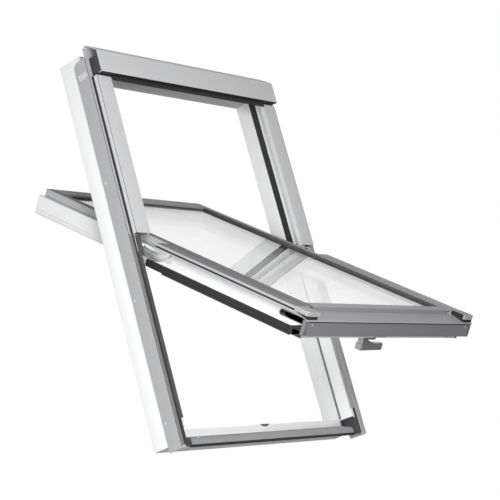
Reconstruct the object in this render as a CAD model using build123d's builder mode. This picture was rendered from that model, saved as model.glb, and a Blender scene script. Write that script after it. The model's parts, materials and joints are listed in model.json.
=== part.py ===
from build123d import *
import os

# Centre-pivot roof window: a white frame with grey sheet-metal cladding, and a
# glazed sash that swings on two curved slide rails.
# X runs across the window, Z up the frame, and -Y points to the weather side.
# The origin is the middle of the frame's lower edge, on its room-side face.
os.makedirs("parts", exist_ok=True)

# Frame, overall
frame_width = 780
frame_height = 1120
jamb_thickness = 34
frame_depth = 104
rebate_depth = 60
rebate_taper = 8
sheet = 1.6
groove = 8
soft_gap = 3
step_depth = 80
step_height = 1100
notch_height = 40
notch_floor = 376

# Cladding of the frame
cladding_start = 55
cladding_flare = 11
cladding_front = 109
cladding_top = 1100
cladding_drop = 17
cover_front = 124
strip_inner = 382
cover_outer = 384
cover_inner = 328.5
cover_lip = 14
cover_leg = 5
cover_foot = 575
cover_head = 1043
hood_half_width = 380
hood_front = 142
hood_low = 1046
hood_edge = 1112
hood_tip_depth = 104
hood_tip = 1143
hood_leg = 128
hood_inside = 366
hang_front = 130
hang_back = 125.5
hang_low = 1035
hang_high = 1056
flange_rise = 26

sill_slope_top = 22.4
sill_slope_foot = 10.6
sill_fall_depth = 94
sill_front = 99
sill_seat = 1.8
corner_start = 358
liner = 2
gasket_low = 64

# Sash, drawn closed in the frame
sash_room_face = 49
sash_weather_face = 103
sash_half_width = 349
nose_back = 62.5
sash_foot = 49
sash_nose = 37
sash_head = 1084
stile_width = 50
glass_half_width = 312
glass_edge_low = 89
glass_edge_high = 1046
glass_front = 117
pane = 6
glass_seat = glass_front - 28
bead_inner = 299
bead_outer = 326
bead_low = 102
bead_foot = 71
bead_head = 1033
lip_depth = 112.5
stud_heights = (110, 320, 520)
panel_half_width = 372
panel_length = 361
panel_low = 26
panel_back = 64
panel_front = 101
cap_wall = 2
tongue_rise = 12
seal_high = 545
line_low = 585
guide_front = 99
guide_width = 15
guide_length = 92
guide_depth = 4
block_front = 66
block_high = 75
block_low = 47.5

# Curved slide rails and their discs
slide_centre_depth = 198.5
slide_centre_height = 600.8
open_angle = 50.3
disc_depth = 92
disc_height = 552
disc_radius = 14
rail_width = 9.4
running_gap = 0.3
housing_low = 526
housing_high = 575
housing_depth = 108.5
housing_back = 70
housing_face = 355.8
pocket_floor = 372
disc_face = 350.6
disc_back = 368
slot_depth = 5
pin_radius = 3
arc_start = -34.6
arc_sweep = 70.3
plate_thickness = 1.2
boss_depth = 94
boss_height = 533.5
boss_radius = 16

# Handle and lock
handle_offset = -26
handle_height = 81
handle_length = 103
bolt_radius = 3
bolt_offset = 9
bolt_depth = 54.5
bolt_pocket = 18
bolt_rest = 50
case_back = 50.2
case_front = 59
case_wall = 1
case_middle = -12
case_length = 58
case_height = 46
spindle_radius = 4
wheel_radius = 7.3
rack_face = -33.6
rack_width = 4
base_depth = 12
base_length = 59
base_height = 26
neck_radius = 8
bar_depth = 6
bar_thickness = 19
bar_tall = 12
bar_round = 8

half = frame_width / 2
reveal = half - jamb_thickness
opening_low = 43
opening_high = frame_height - 33
slide_radius = ((slide_centre_depth - disc_depth) ** 2 + (slide_centre_height - disc_height) ** 2) ** 0.5

slide_centre = Location((0, -slide_centre_depth, slide_centre_height))
swing = slide_centre * Location((0, 0, 0), (-open_angle, 0, 0)) * slide_centre.inverse()
still = Location((0, 0, 0))
sides = {"left": -1, "right": 1}


def in_sash(plane):
    """A plane of the closed sash, carried to where the open sash stands."""
    return Plane(swing * plane.location)


room_side = in_sash(Plane.XZ).z_dir * -1


def keep(piece, label):
    piece.part.label = label
    export_step(piece.part, f"parts/{label}.step")


def upright(points, low, high, pose=still):
    """A bar along Z with the outline given as (x, y) points."""
    with BuildPart() as bar:
        with BuildSketch(Plane(pose * Plane.XY.offset(low).location)):
            with BuildLine():
                Polyline(*points, close=True)
            make_face()
        extrude(amount=high - low)
    return bar


def across(points, half_length, pose=still):
    """A bar along X with the outline given as (y, z) points."""
    with BuildPart() as bar:
        with BuildSketch(Plane(pose * Plane.YZ.offset(-half_length).location)):
            with BuildLine():
                Polyline(*points, close=True)
            make_face()
        extrude(amount=2 * half_length)
    return bar


def folded(points, low, high, plane, pose=still, radius=1.0, side=Side.LEFT):
    """Bent sheet metal: an open line of bends, given the sheet's thickness."""
    with BuildPart() as strip:
        with BuildSketch(Plane(pose * plane.offset(low).location)):
            with BuildLine():
                FilletPolyline(*points, radius=radius)
                offset(amount=sheet, side=side, closed=True)
            make_face()
        extrude(amount=high - low)
    return strip


def mirrored(points, s):
    """The outline of one side, for the side whose sign is s."""
    return [(s * x, y) for x, y in points]


def side_of(s):
    return Side.LEFT if s < 0 else Side.RIGHT


# Jambs, with the rebate, the seal groove and the pocket of the hinge
jamb_outline = [
    (half, 0),
    (half, 0.5 - cladding_start),
    (half - 1, 0.5 - cladding_start),
    (half - 1, -frame_depth),
    (reveal + rebate_taper, -frame_depth),
    (reveal, -rebate_depth - groove),
    (reveal + 4, -rebate_depth - groove),
    (reveal + 4, -rebate_depth),
    (reveal, -rebate_depth),
    (reveal, 0),
]
jambs = {}
for name, s in sides.items():
    with BuildPart() as jamb:
        with BuildSketch():
            with BuildLine():
                Polyline(*mirrored(jamb_outline, s), close=True)
            make_face()
        extrude(amount=frame_height)
        fillet(jamb.edges().filter_by(Axis.Z).sort_by(Axis.Y)[-2:], radius=2)
        with BuildSketch(Plane.YZ):
            with Locations((-housing_back, housing_low)):
                Rectangle(frame_depth, housing_high - housing_low, align=(Align.MAX, Align.MIN))
        extrude(amount=s * pocket_floor, mode=Mode.SUBTRACT)
        with BuildSketch(Plane.YZ):
            with Locations((2 - rebate_depth, 0)):
                Rectangle(frame_depth, notch_height, align=(Align.MAX, Align.MIN))
        extrude(amount=s * notch_floor, mode=Mode.SUBTRACT)
        with BuildSketch(Plane.YZ):
            with Locations((-step_depth, step_height)):
                Rectangle(frame_depth, frame_height, align=(Align.MAX, Align.MIN))
        extrude(amount=s * frame_width, mode=Mode.SUBTRACT)
    jambs[name] = jamb
    keep(jamb, f"jamb_{name}")

# Head and sill run between the jambs and are cut to their outline
head_outline = [
    (0, opening_high),
    (0, frame_height),
    (-step_depth, frame_height),
    (-step_depth, step_height),
    (-frame_depth, step_height),
    (-frame_depth, opening_high + rebate_taper),
    (-rebate_depth - groove, opening_high),
    (-rebate_depth - groove, opening_high + groove / 2),
    (-rebate_depth, opening_high + groove / 2),
    (-rebate_depth, opening_high),
]
sill_outline = [
    (0, 0),
    (0, opening_low),
    (-rebate_depth, opening_low),
    (-rebate_depth, sill_slope_top - sill_seat),
    (-sill_fall_depth + 1.4, sill_slope_foot - 1.4),
    (-sill_front + sill_seat, 2.1),
    (-sill_front + sill_seat, 0),
]
members = {"head": (head_outline, reveal + rebate_taper), "sill": (sill_outline, notch_floor)}
for name, (outline, reach) in members.items():
    with BuildPart() as member:
        with BuildSketch(Plane.YZ.offset(-reach)):
            with BuildLine():
                Polyline(*outline, close=True)
            make_face()
        extrude(amount=2 * reach)
        room_edges = member.edges().filter_by(Axis.X).sort_by(Axis.Y)[-2:].sort_by(Axis.Z)
        fillet(room_edges[1:] if name == "sill" else room_edges, radius=2)
        if name == "sill":
            with BuildSketch(Plane.XY.offset(opening_low)):
                with Locations((bolt_offset, -bolt_depth)):
                    Circle(bolt_radius + 0.5)
            extrude(amount=-bolt_pocket, mode=Mode.SUBTRACT)
        for jamb in jambs.values():
            add(jamb.part, mode=Mode.SUBTRACT)
    keep(member, name)

# Sheet-metal cladding of the frame
for name, s in sides.items():
    edge = [
        (half + sheet + 0.4, -cladding_start),
        (half + cladding_flare, -cladding_front),
        (strip_inner, -cladding_front),
        (strip_inner, -frame_depth),
    ]
    with BuildPart() as cladding:
        with BuildSketch(Plane.XY.offset(-cladding_drop)):
            with BuildLine():
                FilletPolyline(*mirrored(edge, s), radius=2)
                offset(amount=sheet, side=side_of(s), closed=True)
            make_face()
        extrude(amount=cladding_top + cladding_drop)
        with BuildSketch(Plane.YZ.offset(-half - 20)):
            with BuildLine():
                Polyline(
                    (-cladding_start + 5, cladding_top - 8),
                    (-cladding_start + 5, cladding_top + 5),
                    (-cladding_start - 22, cladding_top + 5),
                    (-cladding_start - 16, cladding_top),
                    close=True,
                )
            make_face()
        extrude(amount=2 * half + 40, mode=Mode.SUBTRACT)
        with BuildSketch(Plane.XY.offset(cladding_top)):
            with Locations((s * strip_inner, -cladding_front)):
                Rectangle(
                    half + cladding_flare - 2 - strip_inner,
                    sheet,
                    align=(Align.MIN if s > 0 else Align.MAX, Align.MIN),
                )
        extrude(amount=flange_rise)
    keep(cladding, f"side_cladding_{name}")

    wrap = [
        (cover_outer, -cover_front + cover_leg),
        (cover_outer, -cover_front),
        (cover_inner, -cover_front),
        (cover_inner, -cover_front + cover_lip),
    ]
    keep(folded(mirrored(wrap, s), cover_foot, cover_head, Plane.XY, side=side_of(s)), f"upper_cover_{name}")

sill_sheet = [
    (-rebate_depth - 0.8, sill_slope_top),
    (-sill_fall_depth, sill_slope_foot),
    (-sill_front, 2.6),
    (-sill_front, -8.5),
    (-sill_front + 6, -8.5),
]
keep(folded(sill_sheet, -corner_start, corner_start, Plane.YZ), "sill_cladding")

head_sheet = [
    (-step_depth - 1, step_height + sheet),
    (-hood_leg, step_height + sheet),
    (-hood_leg, hood_low + 5),
]
keep(folded(head_sheet, -hood_inside, hood_inside, Plane.YZ), "head_cladding")

hood_sheet = [
    (-hood_front + 12, hood_low),
    (-hood_front, hood_low),
    (-hood_front, hood_edge),
    (-hood_tip_depth, hood_tip),
    (-hood_tip_depth + 11, hood_tip - 4),
    (-hood_tip_depth + 5, step_height + 2 * sheet),
    (-step_depth - 4, step_height + 2 * sheet),
]
keep(folded(hood_sheet, -hood_half_width, hood_half_width, Plane.YZ, side=Side.RIGHT), "hood")

# Rubber strip pushed onto the lower edge of the head cladding
hang = [
    (-hang_front, hang_low),
    (-hang_front, hang_high),
    (-hood_leg, hang_high),
    (-hood_leg, hood_low + 5),
    (-hood_leg + sheet, hood_low + 5),
    (-hood_leg + sheet, hang_high),
    (-hang_back, hang_high),
    (-hang_back, hang_low),
]
keep(across(hang, cover_inner - 2), "hood_gasket")

# Seals of the frame: rubber bars seated in the grooves and on the front faces
for name, s in sides.items():
    bulb = [
        (reveal, 9 - rebate_depth),
        (reveal - 2, 6 - rebate_depth),
        (reveal - 2, -rebate_depth - groove - 2.5),
        (reveal + 1.11, -rebate_depth - groove - 5),
        (reveal, -rebate_depth - groove),
        (reveal + 4, -rebate_depth - groove),
        (reveal + 4, -rebate_depth),
        (reveal, -rebate_depth),
    ]
    keep(upright(mirrored(bulb, s), housing_high, opening_high - 2), f"upper_seal_{name}")
    slim = [
        (reveal + 4, -rebate_depth),
        (reveal - 0.5, -rebate_depth - 0.5),
        (reveal - 1.5, -rebate_depth - groove / 2),
        (reveal - 0.5, -rebate_depth - groove + 0.5),
        (reveal + 4, -rebate_depth - groove),
    ]
    keep(upright(mirrored(slim, s), opening_low, housing_low), f"lower_seal_{name}")
    face = [
        (reveal + rebate_taper + 0.5, -frame_depth),
        (strip_inner - 0.5, -frame_depth),
        (strip_inner - 0.5, -frame_depth - 3),
        (strip_inner - 4.5, -cladding_front + 0.2),
        (strip_inner - 9, -frame_depth - 3.4),
        (strip_inner - 13.5, -cladding_front + 0.2),
        (reveal + rebate_taper + 0.5, -frame_depth - 3),
    ]
    keep(upright(mirrored(face, s), gasket_low, housing_low), f"front_gasket_{name}")
    foam_back = reveal + rebate_taper + 2
    with BuildPart() as foam:
        with BuildSketch(Plane.XY.offset(housing_high + 2)):
            with BuildLine():
                Polyline(
                    (s * foam_back, -frame_depth),
                    (s * (strip_inner - 0.2), -frame_depth),
                    (s * (strip_inner - 0.2), -cover_front + sheet),
                    (s * foam_back, -cover_front + sheet),
                    close=True,
                )
            make_face()
        extrude(amount=cover_head - housing_high - 2)
        with BuildSketch(Plane.XY.offset(cover_head)):
            with BuildLine():
                Polyline(
                    (s * (sash_half_width + 1.5), -frame_depth),
                    (s * (hood_half_width - 1), -frame_depth),
                    (s * (hood_half_width - 1), -cover_front + 3),
                    (s * (cover_inner + 2), -cover_front + 3),
                    (s * (cover_inner + 2), -sash_weather_face - 4),
                    (s * (sash_half_width + 1.5), -sash_weather_face - 4),
                    close=True,
                )
            make_face()
        extrude(amount=step_height - cover_head)
        with BuildSketch(Plane.XY.offset(hood_low + 2)):
            with Locations((s * (hood_half_width + 0.8), -cover_front + 3)):
                Rectangle(
                    hood_half_width - hood_inside - 0.2,
                    hood_front - cover_front + 1,
                    align=(Align.MAX if s > 0 else Align.MIN, Align.MAX),
                )
        extrude(amount=step_height - hood_low - 4)
    keep(foam, f"cover_foam_{name}")

head_slope = rebate_taper / (frame_depth - rebate_depth - groove)
head_bulb = [
    (9 - rebate_depth, opening_high),
    (6 - rebate_depth, opening_high - 1.5),
    (-frame_depth + 1, opening_high - 1),
    (-frame_depth + 1, opening_high + (frame_depth - rebate_depth - groove - 1) * head_slope),
    (-rebate_depth - groove, opening_high),
    (-rebate_depth - groove, opening_high + groove / 2),
    (-rebate_depth, opening_high + groove / 2),
    (-rebate_depth, opening_high),
]
keep(across(head_bulb, reveal - 2.5), "head_seal")

# Dark end pieces that close the sill cladding at both corners
for name, s in sides.items():
    with BuildPart() as corner:
        with BuildSketch(Plane.YZ.offset(s * corner_start)):
            with BuildLine():
                Polyline(
                    (-rebate_depth - 1, sill_slope_top - sill_seat + 0.5),
                    (-rebate_depth - 1, sill_slope_top + 1.2),
                    (-sill_fall_depth, sill_slope_foot + 1.5),
                    (-cladding_front + 1, sill_slope_foot - 3),
                    (-cladding_front + 1, -12),
                    (-sill_front + 1, -12),
                    (-sill_front + 1, 1),
                    (-sill_fall_depth, sill_slope_foot - sill_seat + 0.1),
                    close=True,
                )
            make_face()
        extrude(amount=s * (strip_inner - 0.4 - corner_start))
        for jamb in jambs.values():
            add(jamb.part, mode=Mode.SUBTRACT)
        with BuildSketch(Plane.XY.offset(sill_slope_foot - 6)):
            with BuildLine():
                Polyline(
                    *mirrored(
                        [
                            (panel_half_width + 2, -frame_depth),
                            (strip_inner - 0.4, -frame_depth),
                            (strip_inner - 0.4, -cladding_front + 1),
                            (panel_half_width + 2, -cladding_front + 1),
                        ],
                        s,
                    ),
                    close=True,
                )
            make_face()
        extrude(amount=gasket_low - sill_slope_foot + 6)
        with BuildSketch(Plane.YZ.offset(s * notch_floor)):
            with BuildLine():
                Polyline(
                    (-rebate_depth - 1, sill_slope_top),
                    (-rebate_depth - 1, notch_height - 0.2),
                    (-frame_depth + 6, notch_height - 0.2),
                    (-frame_depth, notch_height - 6),
                    (-frame_depth, sill_slope_foot - 3),
                    (-sill_fall_depth, sill_slope_foot + 0.4),
                    close=True,
                )
            make_face()
        extrude(amount=-s * liner)
        with BuildSketch(Plane.XY.offset(sill_slope_top)):
            with Locations((s * notch_floor, -rebate_depth)):
                Rectangle(
                    notch_floor - corner_start,
                    liner,
                    align=(Align.MAX if s > 0 else Align.MIN, Align.MAX),
                )
        extrude(amount=notch_height - 0.2 - sill_slope_top)
    keep(corner, f"sill_corner_{name}")

# Striker plate on the sill
with BuildPart() as striker:
    with BuildSketch(Plane.XZ.offset(rebate_depth)):
        with Locations((bolt_offset, opening_low + sheet)):
            Rectangle(60, 17, align=(Align.CENTER, Align.MAX))
    extrude(amount=sheet)
    fillet(striker.edges().filter_by(Axis.Y).sort_by(Axis.Z)[:2], radius=12)
    with BuildSketch(Plane.XY.offset(opening_low)):
        with Locations((bolt_offset, -rebate_depth)):
            Rectangle(60, 15, align=(Align.CENTER, Align.MIN))
        with Locations((bolt_offset, -bolt_depth)):
            Circle(bolt_radius + 0.5, mode=Mode.SUBTRACT)
    extrude(amount=sheet)
keep(striker, "striker_plate")

# Hinge housings in the jambs, with the slotted discs that guide the slide rails
for name, s in sides.items():
    with BuildPart() as housing:
        with BuildSketch(Plane.YZ.offset(s * housing_face)):
            with Locations((-housing_back, housing_low)):
                Rectangle(housing_depth - housing_back, housing_high - housing_low, align=(Align.MAX, Align.MIN))
        extrude(amount=s * (pocket_floor - housing_face))
        fillet(housing.edges().filter_by(Axis.X).sort_by(Axis.Y)[:2], radius=6)
        with BuildSketch(Plane.YZ.offset(s * housing_face)):
            with Locations((-disc_depth, disc_height)):
                Circle(disc_radius + running_gap)
        extrude(amount=s * (disc_back - housing_face), mode=Mode.SUBTRACT)
        with BuildSketch(Plane.YZ.offset(s * (housing_face + 2))):
            with Locations((-disc_depth, disc_height)):
                Circle(pin_radius)
        extrude(amount=s * (pocket_floor - housing_face - 2))
    keep(housing, f"hinge_housing_{name}")

    with BuildPart() as disc:
        with BuildSketch(Plane.YZ.offset(s * disc_face)):
            with Locations((-disc_depth, disc_height)):
                Circle(disc_radius)
        extrude(amount=s * (disc_back - disc_face))
        with BuildSketch(Plane.YZ.offset(s * disc_face)):
            with Locations((-slide_centre_depth, slide_centre_height)):
                Circle(slide_radius + rail_width / 2 + running_gap)
                Circle(slide_radius - rail_width / 2 - running_gap, mode=Mode.SUBTRACT)
        extrude(amount=s * slot_depth, mode=Mode.SUBTRACT)
        with BuildSketch(Plane.YZ.offset(s * (housing_face + 1.5))):
            with Locations((-disc_depth, disc_height)):
                Circle(pin_radius + running_gap)
        extrude(amount=s * frame_depth, mode=Mode.SUBTRACT)
    keep(disc, f"hinge_disc_{name}")

# Sash members: stiles run through, rails are cut between them
stile_outline = [
    (sash_half_width - stile_width - 1, -sash_room_face),
    (sash_half_width, -sash_room_face),
    (sash_half_width, -sash_weather_face),
    (glass_half_width + 2.5, -sash_weather_face),
    (glass_half_width + 2.5, -glass_seat),
    (sash_half_width - stile_width - 1, -glass_seat),
]
stiles = {}
for name, s in sides.items():
    with BuildPart() as stile:
        with BuildSketch(in_sash(Plane.XY.offset(sash_nose))) as outline:
            with BuildLine():
                Polyline(*mirrored(stile_outline, s), close=True)
            make_face()
            fillet(outline.vertices().group_by(Axis.Y)[-1], radius=4)
        extrude(amount=sash_head - sash_nose)
        with BuildSketch(in_sash(Plane.YZ)):
            with Locations((-nose_back, sash_foot)):
                Rectangle(frame_depth, frame_height, align=(Align.MIN, Align.MAX))
        extrude(amount=s * frame_width, mode=Mode.SUBTRACT)
        with BuildSketch(in_sash(Plane.XY.offset(line_low))):
            with Locations((s * sash_half_width, -sash_room_face - 9)):
                Rectangle(4, 8)
        extrude(amount=sash_head - line_low, mode=Mode.SUBTRACT)
    stiles[name] = stile
    keep(stile, f"stile_{name}")

bottom_outline = [
    (-sash_room_face, sash_foot),
    (-sash_room_face, sash_foot + stile_width + 1),
    (-glass_seat, sash_foot + stile_width + 1),
    (-glass_seat, glass_edge_low - 2.5),
    (-sash_weather_face, glass_edge_low - 2.5),
    (-sash_weather_face, sash_nose),
    (-nose_back, sash_nose),
    (-nose_back, sash_foot),
]
top_outline = [
    (-sash_room_face, sash_head),
    (-sash_room_face, sash_head - stile_width),
    (-glass_seat, sash_head - stile_width),
    (-glass_seat, glass_edge_high + 2.5),
    (-sash_weather_face, glass_edge_high + 2.5),
    (-sash_weather_face, sash_head),
]
for name, outline_points in {"bottom": bottom_outline, "top": top_outline}.items():
    with BuildPart() as rail:
        with BuildSketch(in_sash(Plane.YZ.offset(-glass_half_width - 2.5))) as outline:
            with BuildLine():
                Polyline(*outline_points, close=True)
            make_face()
            fillet(outline.vertices().group_by(Axis.X)[-1], radius=4)
        extrude(amount=2 * glass_half_width + 5)
        if name == "bottom":
            with BuildSketch(in_sash(Plane.XZ.offset(case_back))):
                with Locations((case_middle, sash_foot)):
                    Rectangle(case_length, case_height, align=(Align.CENTER, Align.MIN))
            extrude(amount=case_front - case_back, mode=Mode.SUBTRACT)
            with BuildSketch(in_sash(Plane.XZ.offset(sash_room_face))):
                with Locations((handle_offset, handle_height)):
                    Circle(spindle_radius + running_gap)
            extrude(amount=case_front - sash_room_face, mode=Mode.SUBTRACT)
        for stile in stiles.values():
            add(stile.part, mode=Mode.SUBTRACT)
    keep(rail, f"sash_{name}_rail")

# Sealed glazing unit, its outer gasket and the metal beads that hold it
glass_middle = (glass_edge_low + glass_edge_high) / 2
glass_height = glass_edge_high - glass_edge_low


def ring(outer, inner, start, end):
    """A frame lying in the plane of the glass, given the insets of its two edges."""
    with BuildPart() as band:
        with BuildSketch(in_sash(Plane.XZ.offset(start))):
            with Locations((0, glass_middle)):
                Rectangle(2 * (glass_half_width - outer), glass_height - 2 * outer)
                Rectangle(2 * (glass_half_width - inner), glass_height - 2 * inner, mode=Mode.SUBTRACT)
        extrude(amount=end - start)
    return band


for name, start in {"inner": glass_seat, "outer": glass_front - pane}.items():
    with BuildPart() as glazing:
        with BuildSketch(in_sash(Plane.XZ.offset(start))):
            with Locations((0, glass_middle)):
                Rectangle(2 * glass_half_width, glass_height)
        extrude(amount=pane)
    keep(glazing, f"pane_{name}")
keep(ring(0, 12, glass_seat + pane, glass_front - pane), "glazing_spacer")
keep(ring(3, 12.4, glass_front, glass_front + 2.4), "glazing_gasket")

for name, s in sides.items():
    side_bead = [
        (bead_inner + 0.5, -cover_front + 4.5),
        (bead_inner + 0.5, -cover_front),
        (bead_outer, -cover_front),
        (bead_outer, -sash_weather_face),
    ]
    piece = folded(mirrored(side_bead, s), bead_foot, sash_head, Plane.XY, swing, side=side_of(-s))
    keep(piece, f"bead_{name}")
bottom_bead = [
    (-cover_front + 4.5, bead_low),
    (-cover_front, bead_low),
    (-cover_front, bead_foot),
    (-sash_weather_face, bead_foot),
]
keep(folded(bottom_bead, -bead_inner, bead_inner, Plane.YZ, swing), "bead_bottom")
top_bead = [
    (-cover_front + 4.5, bead_head),
    (-cover_front, bead_head),
    (-cover_front, sash_head),
    (-sash_weather_face, sash_head),
]
keep(folded(top_bead, -bead_inner, bead_inner, Plane.YZ, swing, side=Side.RIGHT), "bead_top")

# Metal strip on the face of each stile, with the studs that carry the outer cover
for name, s in sides.items():
    with BuildPart() as strip:
        with BuildSketch(in_sash(Plane.XZ.offset(sash_weather_face))):
            with Locations((s * (bead_outer + 1.7), bead_foot)):
                Rectangle(
                    sash_half_width - bead_outer - 1.7,
                    sash_head - bead_foot,
                    align=(Align.MIN if s > 0 else Align.MAX, Align.MIN),
                )
        extrude(amount=sheet)
        with BuildSketch(in_sash(Plane.XZ.offset(sash_weather_face))):
            with Locations(*[(s * 338, z) for z in stud_heights]):
                RectangleRounded(14, 22, 3)
        extrude(amount=cover_front - sheet - sash_weather_face)
    keep(strip, f"stile_strip_{name}")

    wrap = [
        (bead_outer + 1.6, -lip_depth),
        (bead_outer + 1.6, -cover_front),
        (panel_half_width, -cover_front),
        (panel_half_width, -lip_depth),
    ]
    piece = folded(mirrored(wrap, s), bead_foot, cover_foot - soft_gap, Plane.XY, swing, side=side_of(-s))
    keep(piece, f"sash_cover_{name}")

bottom_wrap = [
    (-cladding_front - 0.3, bead_foot),
    (-lip_depth, bead_foot),
    (-sash_weather_face, panel_low - sheet),
    (-panel_front + 1.2, panel_low - sheet),
]
keep(folded(bottom_wrap, -panel_half_width, panel_half_width, Plane.YZ, swing), "sash_cover_bottom")

# Moulded corners of the lower cover: hollow caps held by a tongue inside the cover above
for name, s in sides.items():
    middle = s * (bead_outer + 1.6 + panel_half_width) / 2
    width = panel_half_width - bead_outer - 1.6
    low = panel_low - 1
    with BuildPart() as cap:
        with BuildSketch(in_sash(Plane.XZ.offset(lip_depth))) as face:
            with Locations((middle, low)):
                Rectangle(width, bead_foot - low, align=(Align.CENTER, Align.MIN))
            fillet(face.vertices().sort_by(Axis.Y)[:2].sort_by(Axis.X)[-1 if s > 0 else 0], radius=8)
        extrude(amount=cover_front + 0.6 - lip_depth)
        with BuildSketch(in_sash(Plane.XZ.offset(lip_depth))):
            with Locations((middle, low + cap_wall)):
                Rectangle(width - 2 * cap_wall, bead_foot - low - 2 * cap_wall, align=(Align.CENTER, Align.MIN))
        extrude(amount=cover_front - 1.4 - lip_depth, mode=Mode.SUBTRACT)
        with BuildSketch(in_sash(Plane.XZ.offset(cover_front - sheet - cap_wall))):
            with Locations((middle, bead_foot - cap_wall)):
                Rectangle(width - 12, tongue_rise + cap_wall, align=(Align.CENTER, Align.MIN))
        extrude(amount=cap_wall)
    keep(cap, f"cover_corner_{name}")

# Hollow drip panel under the sash, capped at both ends
with BuildPart() as panel:
    with BuildSketch(in_sash(Plane.YZ.offset(-panel_length))):
        with Locations((-panel_front, panel_low)):
            Rectangle(panel_front - panel_back, sash_nose - panel_low, align=(Align.MIN, Align.MIN))
        with Locations((-panel_front + 2, panel_low + 2)):
            Rectangle(
                panel_front - panel_back - 4,
                sash_nose - panel_low - 4,
                align=(Align.MIN, Align.MIN),
                mode=Mode.SUBTRACT,
            )
    extrude(amount=2 * panel_length)
keep(panel, "drip_panel")
for name, s in sides.items():
    with BuildPart() as end:
        with BuildSketch(in_sash(Plane.XY.offset(panel_low))) as outline:
            with Locations((s * panel_length, -panel_front)):
                Rectangle(
                    panel_half_width - panel_length,
                    panel_front - panel_back,
                    align=(Align.MIN if s > 0 else Align.MAX, Align.MIN),
                )
            fillet(outline.vertices().group_by(Axis.Y)[0].sort_by(Axis.X)[-1 if s > 0 else 0], radius=9)
        extrude(amount=sash_nose - panel_low)
    keep(end, f"panel_cap_{name}")

# Parts on the outer faces of the stiles: corner guides, seals and slide rails
slide_arc = CenterArc((-slide_centre_depth, slide_centre_height), slide_radius, arc_start, arc_sweep)
for name, s in sides.items():
    with BuildPart() as guide:
        with BuildSketch(in_sash(Plane.YZ.offset(s * sash_half_width))) as face:
            with Locations((-guide_front, sash_nose + 1)):
                Rectangle(guide_width, guide_length, align=(Align.MIN, Align.MIN))
            fillet(face.vertices().group_by(Axis.Y)[-1], radius=guide_width / 2 - 0.1)
        extrude(amount=s * guide_depth)
        with BuildSketch(in_sash(Plane.YZ.offset(s * sash_half_width))):
            with Locations((guide_width - guide_front, sash_nose + 1)):
                Rectangle(guide_front - guide_width - block_front + 1, 8, align=(Align.MIN, Align.MIN))
        extrude(amount=s * 1.2)
        with BuildSketch(in_sash(Plane.YZ.offset(s * sash_half_width))):
            with BuildLine():
                Polyline(
                    (-sash_room_face, block_low),
                    (-sash_room_face, block_high),
                    (-block_front, block_high),
                    (-block_front, sash_nose + 1),
                    (-nose_back, sash_nose + 1),
                    (-nose_back, block_low),
                    close=True,
                )
            make_face()
        extrude(amount=s * guide_depth)
    keep(guide, f"corner_guide_{name}")

    lip = [
        (sash_half_width, -sash_room_face - 2),
        (sash_half_width + 1.6, -sash_room_face - 2),
        (sash_half_width + 2.8, -sash_room_face - 6),
        (sash_half_width + 1.2, -sash_room_face - 10),
        (sash_half_width + 2.8, -sash_room_face - 14),
        (sash_half_width + 1.6, -sash_room_face - 17),
        (sash_half_width, -sash_room_face - 17),
    ]
    keep(upright(mirrored(lip, s), block_high, seal_high, swing), f"sash_seal_{name}")

    with BuildPart() as slide:
        with BuildSketch(in_sash(Plane.YZ.offset(s * sash_half_width))):
            SlotArc(slide_arc, height=2 * rail_width + 7)
            with Locations((-boss_depth, boss_height)):
                Circle(boss_radius)
        extrude(amount=s * plate_thickness)
        with BuildSketch(in_sash(Plane.YZ.offset(s * (sash_half_width + plate_thickness)))):
            SlotArc(slide_arc, height=rail_width)
        extrude(amount=s * (disc_face + slot_depth - running_gap - sash_half_width - plate_thickness))
    keep(slide, f"slide_rail_{name}")

# Lock: a case let into the bottom rail, a sliding bolt and the handle's drive wheel
with BuildPart() as case:
    with BuildSketch(in_sash(Plane.XZ.offset(case_back))):
        with Locations((case_middle, sash_foot)):
            Rectangle(case_length, case_height, align=(Align.CENTER, Align.MIN))
    extrude(amount=case_front - case_back)
    with BuildSketch(in_sash(Plane.XZ.offset(case_back + case_wall))):
        with Locations((case_middle, sash_foot + case_wall)):
            Rectangle(case_length - 3, case_height - 2 * case_wall, align=(Align.CENTER, Align.MIN))
    extrude(amount=case_front - case_back - 2 * case_wall, mode=Mode.SUBTRACT)
    with BuildSketch(in_sash(Plane.XZ.offset(case_back))):
        with Locations((handle_offset, handle_height)):
            Circle(spindle_radius + running_gap)
    extrude(amount=2 * case_wall, mode=Mode.SUBTRACT)
    with BuildSketch(in_sash(Plane.XY.offset(sash_foot))):
        with Locations((bolt_offset, -bolt_depth)):
            Circle(bolt_radius + 0.05)
    extrude(amount=2 * case_wall, mode=Mode.SUBTRACT)
keep(case, "lock_case")

with BuildPart() as bolt:
    with BuildSketch(in_sash(Plane.XY.offset(bolt_rest))):
        with Locations((bolt_offset, -bolt_depth)):
            Circle(bolt_radius)
    extrude(amount=24)
    with BuildSketch(in_sash(Plane.XZ.offset(bolt_depth - 2.5))):
        with BuildLine():
            Polyline(
                (bolt_offset + 2, bolt_rest + 16),
                (bolt_offset + 2, bolt_rest + 22),
                (rack_face, bolt_rest + 22),
                (rack_face, bolt_rest + 43.5),
                (rack_face - rack_width, bolt_rest + 43.5),
                (rack_face - rack_width, bolt_rest + 16),
                close=True,
            )
        make_face()
    extrude(amount=5)
keep(bolt, "latch_bolt")

with BuildPart() as base:
    with BuildSketch(in_sash(Plane.XZ.offset(sash_room_face - base_depth))):
        with Locations((handle_offset, handle_height)):
            RectangleRounded(base_length, base_height, 6)
            Circle(spindle_radius + running_gap, mode=Mode.SUBTRACT)
    extrude(amount=base_depth)
    rim = base.faces().filter_by(lambda f: f.normal_at().dot(room_side) > 0.9)[0].outer_wire()
    chamfer(rim.edges(), length=1.5)
keep(base, "handle_base")

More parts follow.
